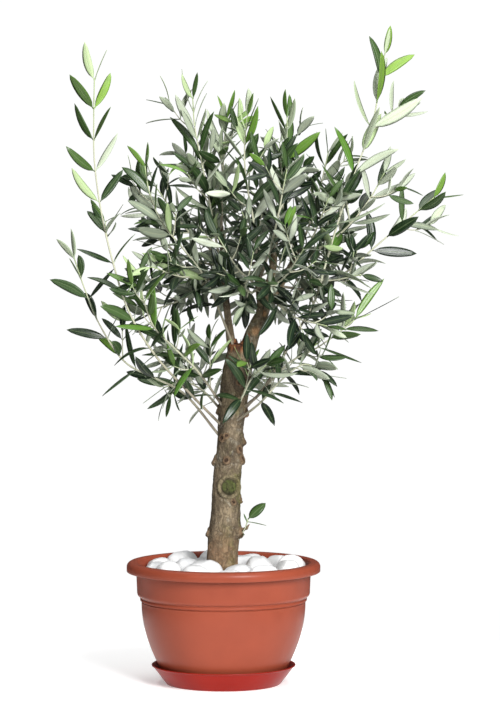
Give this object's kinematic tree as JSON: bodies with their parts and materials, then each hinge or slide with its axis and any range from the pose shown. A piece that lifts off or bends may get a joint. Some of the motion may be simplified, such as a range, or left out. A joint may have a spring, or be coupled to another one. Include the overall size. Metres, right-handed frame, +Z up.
{
  "type": "potted olive tree",
  "caption": "Young olive tree with a pruned trunk and open crown, in a round rimmed pot on a saucer, pebbles over its soil.",
  "frame": {"origin": "middle of the saucer's underside, where the object stands", "axes": "+Z up along the pot's axis; +X to the side that the trunk's cut top leans to; -Y towards the front, where the broad pruning scar is"},
  "size_m": [0.6456, 0.4473, 1.0171],
  "materials": {
    "saucer_plastic": "moulded red plastic with a soft gloss",
    "pot_plastic": "terracotta-coloured moulded plastic, satin",
    "soil": "damp crumbly potting soil",
    "pebble_stone": "tumbled white marble with faint grey veins",
    "bark": "grey-brown olive bark with moss-green patches",
    "leaf": "leathery olive leaves, grey-green above and silvery below"
  },
  "bodies": {
    "root": {"pebble_inner_01": "pebble_stone", "pebble_inner_02": "pebble_stone", "pebble_inner_03": "pebble_stone", "pebble_inner_04": "pebble_stone", "pebble_inner_05": "pebble_stone", "pebble_inner_06": "pebble_stone", "pebble_outer_01": "pebble_stone", "pebble_outer_02": "pebble_stone", "pebble_outer_03": "pebble_stone", "pebble_outer_04": "pebble_stone", "pebble_outer_05": "pebble_stone", "pebble_outer_06": "pebble_stone", "pebble_outer_07": "pebble_stone", "pebble_outer_08": "pebble_stone", "pebble_outer_09": "pebble_stone", "pebble_outer_10": "pebble_stone", "pebble_outer_11": "pebble_stone", "pebble_outer_12": "pebble_stone", "pot": "pot_plastic", "saucer": "saucer_plastic", "shoot_back_left_low": "leaf", "shoot_back_low": "leaf", "shoot_front_low": "leaf", "shoot_inner_01": "leaf", "shoot_inner_02": "leaf", "shoot_inner_03": "leaf", "shoot_inner_04": "leaf", "shoot_inner_05": "leaf", "shoot_inner_06": "leaf", "shoot_inner_07": "leaf", "shoot_inner_08": "leaf", "shoot_inner_09": "leaf", "shoot_inner_10": "leaf", "shoot_inner_11": "leaf", "shoot_inner_12": "leaf", "shoot_inner_13": "leaf", "shoot_inner_14": "leaf", "shoot_inner_15": "leaf", "shoot_inner_16": "leaf", "shoot_inner_17": "leaf", "shoot_inner_18": "leaf", "shoot_inner_19": "leaf", "shoot_left_low": "leaf", "shoot_left_mid": "leaf", "shoot_left_outer": "leaf", "shoot_left_tall": "leaf", "shoot_right_arch": "leaf", "shoot_right_low": "leaf", "shoot_right_lowest": "leaf", "shoot_right_mid": "leaf", "shoot_right_tall": "leaf", "shoot_top_far_right": "leaf", "shoot_top_left": "leaf", "shoot_top_mid": "leaf", "shoot_top_mid_right": "leaf", "shoot_top_right": "leaf", "shoot_upper_left": "leaf", "soil": "soil", "trunk": "bark", "trunk_sprout": "leaf"}
  },
  "joints": []
}
